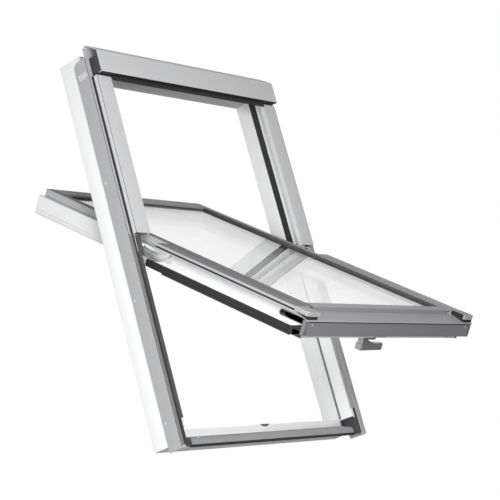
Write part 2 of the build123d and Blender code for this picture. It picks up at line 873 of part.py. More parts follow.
grip_left = -handle_length / 2
grip_right = handle_length / 2 - bar_round
bar_back = bar_depth + bar_thickness
with BuildPart() as lever:
    with BuildSketch(in_sash(Plane.XZ.offset(bar_depth))):
        with BuildLine():
            Polyline(
                (grip_right, handle_height + bar_round),
                (grip_left + 6, handle_height + bar_tall),
                (grip_left, handle_height + bar_tall - 3),
                (grip_left, handle_height - bar_tall + 3),
                (grip_left + 6, handle_height - bar_tall),
                (grip_right, handle_height - bar_round),
            )
            ThreePointArc(
                (grip_right, handle_height - bar_round),
                (grip_right + bar_round, handle_height),
                (grip_right, handle_height + bar_round),
            )
        make_face()
    extrude(amount=bar_thickness)
    rims = [lever.faces().filter_by(lambda f: abs(f.normal_at().dot(room_side)) > 0.9)[n] for n in (0, 1)]
    chamfer([edge for rim in rims for edge in rim.outer_wire().edges()], length=2)
    with BuildSketch(in_sash(Plane.XZ.offset(bar_back - 1))):
        with Locations((handle_offset, handle_height)):
            Circle(neck_radius)
    extrude(amount=sash_room_face - base_depth - running_gap - bar_back + 1)
    with BuildSketch(in_sash(Plane.XZ.offset(bar_back - 1))):
        with Locations((handle_offset, handle_height)):
            Circle(spindle_radius)
    extrude(amount=case_front - case_wall - running_gap - bar_back + 1)
    with BuildSketch(in_sash(Plane.XZ.offset(bolt_depth - 2.5))):
        with Locations((handle_offset, handle_height)):
            Circle(wheel_radius)
    extrude(amount=5)
keep(lever, "handle_lever")
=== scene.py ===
import bpy
import bmesh
import json
import math
from mathutils import Matrix, Vector

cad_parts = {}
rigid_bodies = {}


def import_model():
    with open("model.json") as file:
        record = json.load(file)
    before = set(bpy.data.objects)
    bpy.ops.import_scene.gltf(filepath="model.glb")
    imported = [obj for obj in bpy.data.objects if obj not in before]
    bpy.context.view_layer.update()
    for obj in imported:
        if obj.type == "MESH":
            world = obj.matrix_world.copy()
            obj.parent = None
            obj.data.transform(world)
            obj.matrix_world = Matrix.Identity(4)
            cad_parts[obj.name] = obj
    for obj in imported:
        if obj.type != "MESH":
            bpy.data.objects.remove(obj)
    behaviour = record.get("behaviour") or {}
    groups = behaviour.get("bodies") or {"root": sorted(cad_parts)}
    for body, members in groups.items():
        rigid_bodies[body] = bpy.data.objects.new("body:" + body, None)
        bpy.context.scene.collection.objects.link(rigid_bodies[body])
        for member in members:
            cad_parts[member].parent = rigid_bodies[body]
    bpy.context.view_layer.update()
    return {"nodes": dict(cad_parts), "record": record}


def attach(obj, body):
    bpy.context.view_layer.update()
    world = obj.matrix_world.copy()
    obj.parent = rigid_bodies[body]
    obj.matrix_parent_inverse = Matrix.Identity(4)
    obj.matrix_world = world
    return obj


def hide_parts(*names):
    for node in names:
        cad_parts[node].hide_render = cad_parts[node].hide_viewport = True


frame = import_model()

nodes = frame["nodes"]
record = frame["record"]
slotOf = {entry["node"]: entry["material_slot"] for entry in record["subparts"]}
bodyOf = {node: body for body, members in record["behaviour"]["bodies"].items() for node in members}
print("frame loaded:", len(nodes), "nodes")

for spare in [o for o in bpy.data.objects if o.name in ("Cube", "Light", "Camera")]:
    bpy.data.objects.remove(spare)

# the sash is drawn shut and carried to its open place by this turn
sashTilt = {"angle": math.radians(-50.3), "centreY": -0.1985, "centreZ": 0.6008}


def opened(point):
    centre = Vector((0, sashTilt["centreY"], sashTilt["centreZ"]))
    return Matrix.Rotation(sashTilt["angle"], 3, "X") @ (Vector(point) - centre) + centre


def openedFacing(facing):
    return Matrix.Rotation(sashTilt["angle"], 3, "X") @ Vector(facing)


# node helpers


def place(tree, kind, **inputs):
    node = tree.nodes.new(kind)
    for name, value in inputs.items():
        node.inputs[name.replace("_", " ")].default_value = value
    return node


def placeGroup(tree, group, **inputs):
    node = tree.nodes.new("ShaderNodeGroup")
    node.node_tree = group
    for name, value in inputs.items():
        node.inputs[name].default_value = value
    return node


def join(tree, start, end):
    tree.links.new(start, end)


def maths(tree, operation, a, b):
    node = tree.nodes.new("ShaderNodeMath")
    node.operation = operation
    for socket, value in zip(node.inputs, (a, b)):
        if isinstance(value, (int, float)):
            socket.default_value = value
        else:
            join(tree, value, socket)
    return node.outputs[0]


mixSockets = {"share": 0, "first": 6, "second": 7, "result": 2}


def mixColors(tree, share, first, second, blend="MIX"):
    node = tree.nodes.new("ShaderNodeMix")
    node.data_type = "RGBA"
    node.blend_type = blend
    join(tree, share, node.inputs[mixSockets["share"]])
    for role, value in (("first", first), ("second", second)):
        socket = node.inputs[mixSockets[role]]
        if isinstance(value, tuple):
            socket.default_value = (*value, 1)
        else:
            join(tree, value, socket)
    return node.outputs[mixSockets["result"]]


def newGroup(name, inputs, outputs):
    group = bpy.data.node_groups.new(name, "ShaderNodeTree")
    for label, kind, value in inputs:
        socket = group.interface.new_socket(name=label, in_out="INPUT", socket_type=kind)
        if value is not None:
            socket.default_value = value
    for label, kind in outputs:
        group.interface.new_socket(name=label, in_out="OUTPUT", socket_type=kind)
    return group, group.nodes.new("NodeGroupInput"), group.nodes.new("NodeGroupOutput")


# slow drift of tone and gloss that every finish shares
driftNoise = {"Detail": 5.0, "Roughness": 0.6, "middle": 0.5}


def buildFinishDrift():
    group, start, end = newGroup(
        "finishDrift",
        [
            ("Vector", "NodeSocketVector", None),
            ("Color", "NodeSocketColor", (0.5, 0.5, 0.5, 1)),
            ("Scale", "NodeSocketFloat", 8.0),
            ("Tone", "NodeSocketFloat", 0.03),
            ("Roughness", "NodeSocketFloat", 0.4),
            ("Spread", "NodeSocketFloat", 0.08),
        ],
        [("Color", "NodeSocketColor"), ("Roughness", "NodeSocketFloat")],
    )
    cloud = place(group, "ShaderNodeTexNoise", Detail=driftNoise["Detail"], Roughness=driftNoise["Roughness"])
    join(group, start.outputs["Vector"], cloud.inputs["Vector"])
    join(group, start.outputs["Scale"], cloud.inputs["Scale"])
    lean = maths(group, "SUBTRACT", cloud.outputs[0], driftNoise["middle"])
    gain = maths(group, "ADD", maths(group, "MULTIPLY", lean, start.outputs["Tone"]), 1.0)
    tint = group.nodes.new("ShaderNodeVectorMath")
    tint.operation = "SCALE"
    join(group, start.outputs["Color"], tint.inputs[0])
    join(group, gain, tint.inputs["Scale"])
    join(group, tint.outputs[0], end.inputs["Color"])
    gloss = maths(group, "MULTIPLY", lean, start.outputs["Spread"])
    join(group, maths(group, "ADD", gloss, start.outputs["Roughness"]), end.inputs["Roughness"])
    return group


# fine relief: a stretched grain, as of wood under lacquer, drawn metal or moulded plastic
grainNoise = {"Roughness": 0.55, "maskStart": 0.35, "maskEnd": 0.7}


def buildFineGrain():
    group, start, end = newGroup(
        "fineGrain",
        [
            ("Vector", "NodeSocketVector", None),
            ("Stretch", "NodeSocketVector", (1.0, 1.0, 1.0)),
            ("Scale", "NodeSocketFloat", 60.0),
            ("Detail", "NodeSocketFloat", 3.0),
        ],
        [("Height", "NodeSocketFloat"), ("Mask", "NodeSocketFloat")],
    )
    pull = group.nodes.new("ShaderNodeVectorMath")
    pull.operation = "MULTIPLY"
    join(group, start.outputs["Vector"], pull.inputs[0])
    join(group, start.outputs["Stretch"], pull.inputs[1])
    noise = place(group, "ShaderNodeTexNoise", Roughness=grainNoise["Roughness"])
    join(group, pull.outputs[0], noise.inputs["Vector"])
    join(group, start.outputs["Scale"], noise.inputs["Scale"])
    join(group, start.outputs["Detail"], noise.inputs["Detail"])
    join(group, noise.outputs[0], end.inputs["Height"])
    ramp = place(group, "ShaderNodeMapRange", From_Min=grainNoise["maskStart"], From_Max=grainNoise["maskEnd"])
    join(group, noise.outputs[0], ramp.inputs["Value"])
    join(group, ramp.outputs[0], end.inputs["Mask"])
    return group


finishDrift = buildFinishDrift()
fineGrain = buildFineGrain()
print("shader groups built")


# what a look has where it says nothing else
plainLook = {
    "turn": (0, 0, 0),
    "driftScale": 6.0,
    "tone": 0.04,
    "spread": 0.1,
    "stretch": (1, 1, 1),
    "grainScale": 200.0,
    "grainColor": (0.97, 0.97, 0.97),
    "bump": 0.1,
    "depth": 0.0003,
    "metallic": 0.0,
    "specular": 0.4,
    "coat": 0.0,
    "coatRoughness": 0.15,
    "bothWays": False,
}
paintedShadingStep = {"start": 0.45, "end": 0.75}


# painted light and shade: a second tone on the walls that face the look's lean, lighter or darker as the light
# falls on them
def paintedFacingShading(tree, coords, look):
    facing = tree.nodes.new("ShaderNodeVectorMath")
    facing.operation = "DOT_PRODUCT"
    join(tree, coords.outputs["Normal"], facing.inputs[0])
    facing.inputs[1].default_value = look["lean"]
    amount = facing.outputs["Value"]
    if look["bothWays"]:
        amount = maths(tree, "MULTIPLY", amount, amount)
    step = place(tree, "ShaderNodeMapRange", From_Min=paintedShadingStep["start"], From_Max=paintedShadingStep["end"])
    join(tree, amount, step.inputs["Value"])
    return mixColors(tree, step.outputs[0], look["color"], look["leanColor"])


def finish(name, givenLook):
    look = {**plainLook, **givenLook}
    material = bpy.data.materials.new(name)
    material.use_nodes = True
    tree = material.node_tree
    shader = tree.nodes["Principled BSDF"]
    coords = tree.nodes.new("ShaderNodeTexCoord")
    turn = place(tree, "ShaderNodeMapping", Rotation=look["turn"])
    join(tree, coords.outputs["Object"], turn.inputs["Vector"])

    drift = placeGroup(
        tree,
        finishDrift,
        Color=(*look["color"], 1),
        Scale=look["driftScale"],
        Tone=look["tone"],
        Roughness=look["roughness"],
        Spread=look["spread"],
    )
    # painted light and shade on the walls that face the lean
    if "leanColor" in look:
        join(tree, paintedFacingShading(tree, coords, look), drift.inputs["Color"])
    join(tree, turn.outputs[0], drift.inputs["Vector"])
    join(tree, drift.outputs["Roughness"], shader.inputs["Roughness"])

    grain = placeGroup(tree, fineGrain, Stretch=look["stretch"], Scale=look["grainScale"])
    join(tree, turn.outputs[0], grain.inputs["Vector"])
    shade = mixColors(tree, grain.outputs["Mask"], drift.outputs["Color"], look["grainColor"], "MULTIPLY")
    join(tree, shade, shader.inputs["Base Color"])
    bump = place(tree, "ShaderNodeBump", Strength=look["bump"], Distance=look["depth"])
    join(tree, grain.outputs["Height"], bump.inputs["Height"])
    join(tree, bump.outputs[0], shader.inputs["Normal"])

    shader.inputs["Metallic"].default_value = look["metallic"]
    shader.inputs["Specular IOR Level"].default_value = look["specular"]
    shader.inputs["Coat Weight"].default_value = look["coat"]
    shader.inputs["Coat Roughness"].default_value = look["coatRoughness"]
    return material


lacquer = {
    "color": (0.845, 0.85, 0.855),
    "roughness": 0.4,
    "tone": 0.03,
    "driftScale": 5.0,
    "grainScale": 90.0,
    "grainColor": (0.975, 0.975, 0.975),
    "bump": 0.12,
    "depth": 0.0002,
    "coat": 0.15,
    "coatRoughness": 0.25,
}
alongZ = (1.0, 1.0, 0.04)
alongX = (0.04, 1.0, 1.0)
shutAgain = (-sashTilt["angle"], 0, 0)
sheetLook = {
    "color": (0.48, 0.483, 0.493),
    "roughness": 0.5,
    "specular": 0.22,
    "tone": 0.05,
    "driftScale": 3.0,
    "spread": 0.12,
    "grainScale": 900.0,
    "bump": 0.05,
    "depth": 0.0001,
}
matteSheet = {**sheetLook, "specular": 0.08, "roughness": 0.6}
rubberLook = {"roughness": 0.6, "driftScale": 14.0, "grainScale": 700.0, "bump": 0.2}
steelLook = {"driftScale": 60.0, "grainScale": 400.0, "bump": 0.08}
looks = {
    "lacquerUpright": {**lacquer, "stretch": alongZ},
    "lacquerAcross": {**lacquer, "stretch": alongX},
    "lacquerSashUpright": {**lacquer, "stretch": alongZ, "turn": shutAgain},
    "lacquerSashAcross": {**lacquer, "stretch": alongX, "turn": shutAgain},
    "coatedSheet": sheetLook,
    # painted light: a lighter copy of the grey sheet for the hood and the frame's upper covers
    "coverSheet": {**sheetLook, "color": (0.64, 0.643, 0.652)},
    # painted light: a lighter copy of the sash's sheet for the right-hand cover and bead
    "sashSheetFar": {**matteSheet, "color": (0.5, 0.502, 0.512)},
    # painted shade: a darker copy of the grey sheet for the sash's bottom cover
    "sashFoot": {**matteSheet, "color": (0.39, 0.391, 0.4)},
    # painted shade: the head's lacquer turns grey on its underside
    "lacquerHead": {**lacquer, "stretch": alongX, "lean": (0, 0, -1), "leanColor": (0.5, 0.5, 0.505)},
    # painted shade and light: a dark copy of the grey sheet for the sash's side covers and beads, painted lighter
    # on the walls that face sideways
    "sashSheet": {
        **matteSheet,
        "color": (0.25, 0.251, 0.258),
        "lean": (1, 0, 0),
        "leanColor": (0.44, 0.442, 0.452),
        "bothWays": True,
    },
    # painted shade: the bead's sheet darker on the walls that face down with the sash open
    "beadSheet": {
        **matteSheet,
        "color": (0.44, 0.441, 0.45),
        "lean": tuple(openedFacing((0, 0, -1))),
        "leanColor": (0.275, 0.276, 0.284),
    },
    # painted shade: a darker copy of the grey sheet for the sill's cladding
    "sillSheet": {**sheetLook, "color": (0.33, 0.332, 0.34), "specular": 0.1, "roughness": 0.6},
    # painted shade: a much darker copy of the grey sheet for the drip panel, which faces down
    "panelSheet": {**sheetLook, "color": (0.2, 0.2, 0.212), "specular": 0.15, "tone": 0.08},
    # black rubber, also used for black strips of painted shade
    "rubberBlack": {
        **rubberLook,
        "color": (0.018, 0.018, 0.019),
        "roughness": 0.62,
        "tone": 0.3,
        "grainColor": (0.8, 0.8, 0.8),
    },
    "clipSheet": {**sheetLook, "color": (0.68, 0.683, 0.69)},
    # dark rubber, also used for dark strips of painted shade
    "rubberDark": {**rubberLook, "color": (0.075, 0.075, 0.077), "tone": 0.2},
    # painted light: a pale copy of the rubber for the right-hand front gasket, edging and lip
    "rubberPale": {**rubberLook, "color": (0.36, 0.36, 0.363), "tone": 0.12},
    "rubberGrey": {**rubberLook, "color": (0.2, 0.2, 0.202), "tone": 0.15},
    "mouldedGrey": {
        "color": (0.5, 0.5, 0.505),
        "roughness": 0.6,
        "specular": 0.2,
        "tone": 0.15,
        "grainScale": 330.0,
        "grainColor": (0.5, 0.5, 0.5),
        "bump": 0.4,
        "depth": 0.0003,
    },
    "mouldedDark": {
        "color": (0.045, 0.045, 0.048),
        "roughness": 0.5,
        "tone": 0.12,
        "grainScale": 1400.0,
        "bump": 0.25,
        "depth": 0.0001,
    },
    "millAluminium": {
        "color": (0.62, 0.63, 0.64),
        "roughness": 0.34,
        "metallic": 1.0,
        "grainScale": 500.0,
        "stretch": (1.0, 1.0, 0.02),
        "turn": shutAgain,
        "bump": 0.12,
    },
    # painted shade: dark steel for the striker's shaded lip
    "darkSteel": {
        **steelLook,
        "color": (0.12, 0.12, 0.122),
        "roughness": 0.4,
        "metallic": 0.6,
        "tone": 0.15,
    },
    "zincSteel": {
        **steelLook,
        "color": (0.74, 0.745, 0.75),
        "roughness": 0.3,
        "metallic": 0.85,
        "tone": 0.08,
    },
    "satinHandle": {
        "color": (0.4, 0.405, 0.41),
        "roughness": 0.3,
        "metallic": 0.9,
        "grainScale": 900.0,
        "stretch": (0.03, 1.0, 1.0),
        "bump": 0.1,
        "depth": 0.0001,
    },
}
finishes = {name: finish(name, look) for name, look in looks.items()}


glassLook = {
    "color": (0.965, 0.968, 0.966),
    "shadowColor": (0.95, 0.952, 0.951),
    "ior": 1.5,
    "driftScale": 3.0,
    "tone": 0.01,
    "roughness": 0.004,
    "spread": 0.006,
}


def buildGlass():
    material = bpy.data.materials.new("paneGlass")
    material.use_nodes = True
    tree = material.node_tree
    shader = tree.nodes["Principled BSDF"]
    shader.inputs["Transmission Weight"].default_value = 1.0
    shader.inputs["IOR"].default_value = glassLook["ior"]
    coords = tree.nodes.new("ShaderNodeTexCoord")
    drift = placeGroup(
        tree,
        finishDrift,
        Color=(*glassLook["color"], 1),
        Scale=glassLook["driftScale"],
        Tone=glassLook["tone"],
        Roughness=glassLook["roughness"],
        Spread=glassLook["spread"],
    )
    join(tree, coords.outputs["Object"], drift.inputs["Vector"])
    join(tree, drift.outputs["Color"], shader.inputs["Base Color"])
    join(tree, drift.outputs["Roughness"], shader.inputs["Roughness"])
    clear = place(tree, "ShaderNodeBsdfTransparent", Color=(*glassLook["shadowColor"], 1))
    path = tree.nodes.new("ShaderNodeLightPath")
    blend = tree.nodes.new("ShaderNodeMixShader")
    join(tree, path.outputs["Is Shadow Ray"], blend.inputs[0])
    join(tree, shader.outputs[0], blend.inputs[1])
    join(tree, clear.outputs[0], blend.inputs[2])
    join(tree, blend.outputs[0], tree.nodes["Material Output"].inputs["Surface"])
    return material


finishes["paneGlass"] = buildGlass()

finishOfSlot = {
    "white_paint": "lacquerUpright",
    "grey_sheet": "coatedSheet",
    "black_rubber": "rubberBlack",
    "grey_rubber": "rubberGrey",
    "grey_plastic": "mouldedGrey",
    "dark_plastic": "mouldedDark",
    "bare_aluminium": "millAluminium",
    "glass": "paneGlass",
    "hinge_metal": "zincSteel",
    "handle_metal": "satinHandle",
}
finishOfNode = {
    # painted light and shade: the head, sill cladding, drip panel and sash sheets take shaded copies, the hood,
    # upper covers and right-hand pieces lighter ones
    "head": "lacquerHead",
    "sill": "lacquerAcross",
    "stile_left": "lacquerSashUpright",
    "stile_right": "lacquerSashUpright",
    "sash_top_rail": "lacquerSashAcross",
    "sash_bottom_rail": "lacquerSashAcross",
    "sill_cladding": "sillSheet",
    "drip_panel": "panelSheet",
    "panel_cap_left": "panelSheet",
    "panel_cap_right": "panelSheet",
    "sash_cover_left": "sashSheet",
    "sash_cover_right": "sashSheetFar",
    "sash_cover_bottom": "sashFoot",
    "bead_left": "sashSheet",
    "bead_right": "sashSheetFar",
    "bead_bottom": "beadSheet",
    "bead_top": "beadSheet",
    "hood": "coverSheet",
    "upper_cover_left": "coverSheet",
    "upper_cover_right": "coverSheet",
    "front_gasket_left": "rubberDark",
    "front_gasket_right": "rubberPale",
    "glazing_gasket": "rubberDark",
    "striker_plate": "lacquerAcross",
    "hinge_housing_left": "rubberDark",
    "hinge_housing_right": "rubberDark",
}


def finishFor(node):
    return finishes[finishOfNode.get(node, finishOfSlot[slotOf[node]])]


for name, piece in nodes.items():
    piece.data.materials.clear()
    piece.data.materials.append(finishFor(name))
print("finishes given to", len(nodes), "nodes")

# edges softened a little on the pieces that catch the light
softEdges = {
    "white_paint": 0.0012,
    "grey_sheet": 0.0004,
    "dark_plastic": 0.0006,
    "grey_plastic": 0.0006,
    "handle_metal": 0.0009,
}
softening = {"weld": 0.00002, "flat": math.radians(0.5), "crease": math.radians(35), "segments": 2}
sharpAngle = math.radians(30)


def softened(node, width):
    mesh = bpy.data.meshes.new(f"{node}Soft")
    shape = bmesh.new()
    shape.from_mesh(nodes[node].data)
    bmesh.ops.remove_doubles(shape, verts=shape.verts, dist=softening["weld"])
    bmesh.ops.dissolve_limit(shape, angle_limit=softening["flat"], verts=shape.verts, edges=shape.edges)
    shape.to_mesh(mesh)
    shape.free()
    mesh.materials.append(finishFor(node))
    piece = bpy.data.objects.new(f"{node}Soft", mesh)
    bpy.context.collection.objects.link(piece)
    bevel = piece.modifiers.new("roundedEdge", "BEVEL")
    bevel.width = width
    bevel.segments = softening["segments"]
    bevel.limit_method = "ANGLE"
    bevel.angle_limit = softening["crease"]
    bevel.use_clamp_overlap = True
    for face in mesh.polygons:
        face.use_smooth = True
    mesh.set_sharp_from_angle(angle=sharpAngle)
    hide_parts(node)
    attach(piece, bodyOf[node])


for node, slot in slotOf.items():
    if slot in softEdges:
        softened(node, softEdges[slot])
print("edges softened")

# trim that the plain nodes lack: sizes in millimetres, drawn with the sash shut
mm = 0.001
sides = {"left": -1, "right": 1}
axesOf = {"z": lambda u, v, w: (u, v, w), "x": lambda u, v, w: (w, u, v), "y": lambda u, v, w: (u, w, v)}


def addPrism(shape, outline, low, high, along):
    rings = []
    for level in (low, high):
        spots = [axesOf[along](u, v, level) for u, v in outline]
        rings.append([shape.verts.new([part * mm for part in spot]) for spot in spots])
    shape.faces.new(rings[0])
    shape.faces.new(rings[1])
    for i in range(len(outline)):
        j = (i + 1) % len(outline)
        shape.faces.new((rings[0][i], rings[0][j], rings[1][j], rings[1][i]))


def trim(name, body, look, solids, onSash=False, instead=None):
    shape = bmesh.new()
    for outline, low, high, along in solids:
        addPrism(shape, outline, low, high, along)
    bmesh.ops.recalc_face_normals(shape, faces=shape.faces)
    if onSash:
        for corner in shape.verts:
            corner.co = opened(corner.co)
    for face in shape.faces:
        face.smooth = True
    mesh = bpy.data.meshes.new(name)
    shape.to_mesh(mesh)
    shape.free()
    mesh.set_sharp_from_angle(angle=sharpAngle)
    mesh.materials.append(finishes[look])
    piece = bpy.data.objects.new(name, mesh)
    bpy.context.collection.objects.link(piece)
    if instead:
        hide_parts(instead)
    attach(piece, body)


# the three ways a bar lies: up one side, right across, and across one side's span
def upright(bar, side):
    return [(side * x, y) for x, y in bar["outline"]], *bar["span"], "z"


def across(bar):
    return bar["outline"], -bar["half"], bar["half"], "x"


def sideways(outline, span, side):
    low, high = sorted(side * edge for edge in span)
    return outline, low, high, "x"


def arcSpots(centre, radii, start, end, count):
    spots = []
    for i in range(count):
        angle = math.radians(start + (end - start) * i / (count - 1))
        spots.append((centre[0] + radii[0] * math.cos(angle), centre[1] + radii[1] * math.sin(angle)))
    return spots


# bars that run up the frame's sides, given as outlines in plan
sideBars = {
    "coverReturn": {
        "outline": [(382.4, -119.4), (384, -119.4), (384, -111.2), (383.3, -110.6), (382.4, -111.2)],
        "span": (575, 1043),
        "look": "coverSheet",
        "slot": "grey_sheet",
    },
    "coverLip": {
        "outline": [(391.4, -109), (391, -110.4), (389.6, -111.1), (385.8, -111.1), (384.3, -110.3), (384.3, -109)],
        "span": (575.5, 1042),
        "look": "rubberBlack",
        "slot": "black_rubber",
    },
    # painted shade: a dark strip along the cover's front edge
    "coverEdge": {
        "outline": [(384, -123.6), (384, -124.25), (382.8, -124.25), (382.8, -123.6)],
        "span": (575, 1043),
        "look": "rubberDark",
        "slot": "black_rubber",
    },
    # painted shade: a dark strip along the cladding's fold, where a line of shade falls
    "foldEdge": {
        "outline": [(400.6, -108.4), (400.6, -109.3), (399.2, -109.3), (399.2, -108.4)],
        "span": (-16, 1098),
        "look": "rubberDark",
        "slot": "black_rubber",
    },
    # painted light: the right-hand edging and lip take the pale copy of the rubber
    "lowerEdging": {
        "outline": [(399, -109), (398.2, -110.2), (395, -111), (391, -110.8), (388.4, -109.8), (388.2, -109)],
        "span": (-10, 574),
        "look": "rubberGrey",
        "lookRight": "rubberPale",
        "slot": "grey_rubber",
    },
    "lowerLip": {
        "outline": [(388.2, -109), (387.4, -110.6), (385, -111.4), (382.4, -110.8), (380.8, -109)],
        "span": (-8, 574),
        "look": "rubberBlack",
        "lookRight": "rubberPale",
        "slot": "black_rubber",
    },
}
for name, bar in sideBars.items():
    for sideName, side in sides.items():
        ending = sideName.title()
        look = bar.get("look" + ending, bar["look"])
        trim(name + ending, "frame", look, [upright(bar, side)])

# painted shade: black strips across, standing for the shade at the hem of the sill's sheet, under the hood's lower
# lip and at its strip's foot
crossBars = {
    "sillHem": {"outline": [(-99.2, -15.6), (-97.6, -15.6), (-97.6, -8.2), (-99.2, -8.2)], "half": 357},
    "hoodLip": {"outline": [(-141.8, 1046.4), (-141.8, 1045.4), (-130.5, 1045.4), (-130.5, 1046.4)], "half": 379},
    "hoodFoot": {
        "outline": [(-129.8, 1036), (-129.8, 1032.4), (-128, 1031.4), (-126, 1032.4), (-126, 1036)],
        "half": 326,
    },
}
for name, bar in crossBars.items():
    trim(name, "frame", "rubberBlack", [across(bar)])

# small clip on the top of the left cladding, with a hole
clip = {
    "foot": (-392.9, -64),
    "head": (-400.4, -104),
    "middle": 1053,
    "half": 9,
    "stand": 0.8,
    "hole": 2.2,
    "endSpots": 13,
    "holeSpots": 24,
}


def buildClip():
    start = Vector((*clip["foot"], clip["middle"]))
    end = Vector((*clip["head"], clip["middle"]))
    reach = (end - start).length
    lengthwise = (end - start).normalized()
    outward = Vector((lengthwise.y, -lengthwise.x, 0))
    half, hole = clip["half"], clip["hole"]
    ring = arcSpots((half, 0), (half, half), 90, 270, clip["endSpots"])
    ring += arcSpots((reach - half, 0), (half, half), -90, 90, clip["endSpots"])
    lastAngle = 360 - 360 / clip["holeSpots"]
    eye = arcSpots((half, 0), (hole, hole), 0, lastAngle, clip["holeSpots"])
    plate = bmesh.new()
    levels = []
    for spots in (ring, eye):
        for lift in (0, clip["stand"]):
            places = [start + lengthwise * u + Vector((0, 0, 1)) * v + outward * lift for u, v in spots]
            levels.append([plate.verts.new(spot * mm) for spot in places])
    for near, far in ((levels[0], levels[1]), (levels[2], levels[3])):
        for i in range(len(near)):
            j = (i + 1) % len(near)
            plate.faces.new((near[i], near[j], far[j], far[i]))
    rims = [edge for edge in plate.edges if all(corner in levels[1] + levels[3] for corner in edge.verts)]
    bmesh.ops.triangle_fill(plate, edges=rims, use_beauty=True)
    bmesh.ops.recalc_face_normals(plate, faces=plate.faces)
    mesh = bpy.data.meshes.new("claddingClip")
    plate.to_mesh(mesh)
    plate.free()
    mesh.materials.append(finishes["clipSheet"])
    piece = bpy.data.objects.new("claddingClip", mesh)
    bpy.context.collection.objects.link(piece)
    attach(piece, "frame")


buildClip()

# strike: painted shade, a rounded dark steel lip below the bolt's hole standing for the striker's shaded part
strike = {"middle": 9, "half": 18, "fall": 7.5, "top": 44.4, "span": (-61.95, -61.5), "spots": 17}
lip = arcSpots((strike["middle"], strike["top"]), (strike["half"], strike["fall"]), 180, 360, strike["spots"])
trim("strikeLip", "frame", "darkSteel", [(lip, *strike["span"], "y")])

# bars that run up the sash's sides, given as outlines in plan with the sash shut
sashBars = {
    "beadEdge": {
        "outline": [
            (301.2, -123.6),
            (301.2, -124.25),
            (298.9, -124.25),
            (298.9, -119.5),
            (299.6, -119.5),
            (299.6, -123.6),
        ],
        "span": (73, 1082),
        "look": "rubberDark",
    },
    # painted shade: black strips standing for the shade in the gap between bead and cover and behind the cap
    "coverGap": {
        "outline": [(326.1, -117), (326.1, -124.1), (327.5, -124.1), (327.5, -117)],
        "span": (72, 571),
        "look": "rubberBlack",
    },
    "capGap": {
        "outline": [(327, -113), (327, -124.3), (327.6, -124.3), (327.6, -113)],
        "span": (31, 71),
        "look": "rubberBlack",
    },
    "sealHead": {
        "outline": [(349, -48), (350.2, -48), (350.2, -68.8), (349, -68.8)],
        "span": (545.5, 612),
        "look": "rubberBlack",
    },
    "sealRise": {
        "outline": [(349, -66), (350.4, -66), (350.2, -68.9), (349, -68.9)],
        "span": (82, 545),
        "look": "rubberBlack",
    },
    "sealFall": {
        "outline": [(349.1, -47.2), (352.3, -47.2), (352.5, -52), (349.1, -52)],
        "span": (82, 545),
        "look": "rubberBlack",
    },
    "sealTail": {
        "outline": [(346.5, -48.8), (349, -48.8), (349, -47.2), (352, -47.2), (350.5, -44.6), (346.5, -44.6)],
        "span": (84, 545),
        "look": "rubberDark",
    },
}
for name, bar in sashBars.items():
    for sideName, side in sides.items():
        trim(name + sideName.title(), "sash", bar["look"], [upright(bar, side)], onSash=True)

# side covers of the sash, which fall away from the beads; the softened plain covers still show with them
coverShape = {
    "outline": [
        (327.6, -113),
        (327.6, -121.6),
        (329, -121.6),
        (371.4, -117.6),
        (372, -117),
        (372, -109.8),
        (370.6, -109.8),
        (370.6, -116.2),
        (329.2, -120),
        (329.2, -113),
    ],
    "span": (71, 572),
}
for sideName, side in sides.items():
    # painted light: the right-hand cover gets the lighter copy of the sheet
    look = "sashSheet" if side < 0 else "sashSheetFar"
    name = "coverShape" + sideName.title()
    solids = [upright(coverShape, side)]
    trim(name, "sash", look, solids, onSash=True, instead="sash_cover_" + sideName)

# panel ends, square round the softened caps, which still show, and the panel's rear edge, in the panel's darker
# copy of the sheet: painted shade
panelEnd = {"outline": [(361, -101), (371.7, -101), (371.7, -62.4), (361, -62.4)], "span": (26, 37)}
for sideName, side in sides.items():
    name = "panelEnd" + sideName.title()
    solids = [upright(panelEnd, side)]
    trim(name, "sash", "panelSheet", solids, onSash=True, instead="panel_cap_" + sideName)
panelFoot = {"outline": [(-64.2, 26), (-62.4, 26), (-62.4, 36), (-64.2, 36)], "half": 361}
trim("panelFoot", "sash", "panelSheet", [across(panelFoot)], onSash=True)

# painted shade: a black strip for the shadow line where the bottom cover hooks round the drip panel, and black
# fillers for the shade in the hollow behind the caps
hook = {"outline": [(-99.7, 26.2), (-99.7, 25.5), (-96.9, 25.5), (-96.9, 26.2)], "half": 361}
trim("hookLine", "sash", "rubberBlack", [across(hook)], onSash=True)
capHollow = {"outline": [(-112.45, 68), (-112.45, 27), (-104, 27)], "span": (331, 369)}
for sideName, side in sides.items():
    solids = [sideways(capHollow["outline"], capHollow["span"], side)]
    trim("capHollow" + sideName.title(), "sash", "rubberBlack", solids, onSash=True)

# dark bars, sloping blocks and grey wings over the softened corner guides, which still show
guide = {
    "span": (349, 353),
    "black": [
        [(-99, 38), (-92.4, 38), (-91.6, 113), (-96.6, 115)],
        [(-69.6, 84), (-85, 43.5), (-85, 38), (-64, 38), (-62.5, 41.7), (-44.6, 86)],
    ],
    "grey": [
        [(-91.6, 111), (-88.6, 112), (-85.6, 96), (-83, 90), (-85.6, 86), (-86.6, 44), (-92.3, 44)],
        arcSpots((-93.1, 120), (4, 4), 0, 340, 18),
    ],
}
for sideName, side in sides.items():
    ending = sideName.title()
    black = [sideways(outline, guide["span"], side) for outline in guide["black"]]
    node = "corner_guide_" + sideName
    trim("guideShape" + ending, "sash", "rubberBlack", black, onSash=True, instead=node)
    grey = [sideways(outline, guide["span"], side) for outline in guide["grey"]]
    trim("guideWing" + ending, "sash", "rubberGrey", grey, onSash=True)

